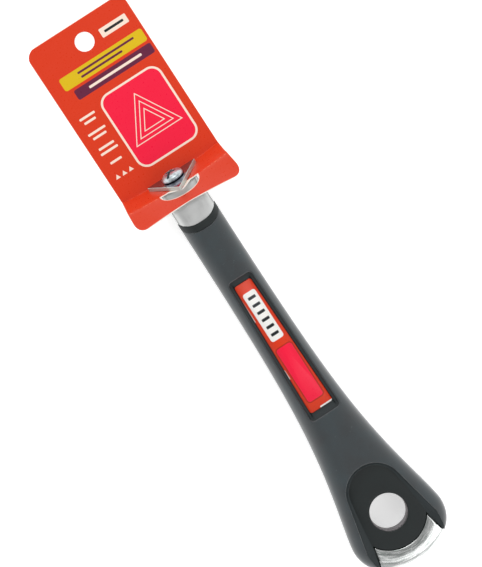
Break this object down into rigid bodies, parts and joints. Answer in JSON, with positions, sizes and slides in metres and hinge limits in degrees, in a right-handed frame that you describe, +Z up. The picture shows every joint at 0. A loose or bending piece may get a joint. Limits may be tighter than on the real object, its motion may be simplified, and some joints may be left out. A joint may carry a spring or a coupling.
{
  "type": "carbide paint scraper",
  "caption": "Pull scraper with a triangular carbide blade screwed to a metal neck, a flared soft-grip handle with a hang hole and strike end, on its display card.",
  "frame": {"origin": "on the surface that the tool lies on, under the middle of the whole length, card and tool together", "axes": "+Y along the tool from the butt towards the blade and the card, +X across it, +Z up out of the label side"},
  "size_m": [0.052, 0.2866, 0.0232],
  "materials": {
    "zinc_casting": "satin casting, bright at the strike end",
    "hard_plastic": "moulded, black",
    "soft_grip": "matte, grey",
    "label_paper": "printed, gloss varnish",
    "carbide": "polished face, ground sides",
    "plated_steel": "bright zinc plating",
    "card": "printed, gloss varnish"
  },
  "bodies": {
    "handle": {"metal_core": "zinc_casting", "handle_body": "hard_plastic", "soft_grip": "soft_grip", "handle_label": "label_paper", "header_card": "card"},
    "blade": {"carbide_blade": "carbide"},
    "screw": {"blade_screw": "plated_steel"}
  },
  "joints": [
    {"name": "blade_index", "type": "hinge", "parent": "handle", "child": "blade", "pos_m": [0, 0.05584, 0.00925], "axis": [0, 0.9135, 0.4067], "range_deg": [-12, 12]},
    {"name": "screw_turn", "type": "hinge", "parent": "handle", "child": "screw", "pos_m": [0, 0.05584, 0.00925], "axis": [0, 0.9135, 0.4067], "continuous": true}
  ]
}
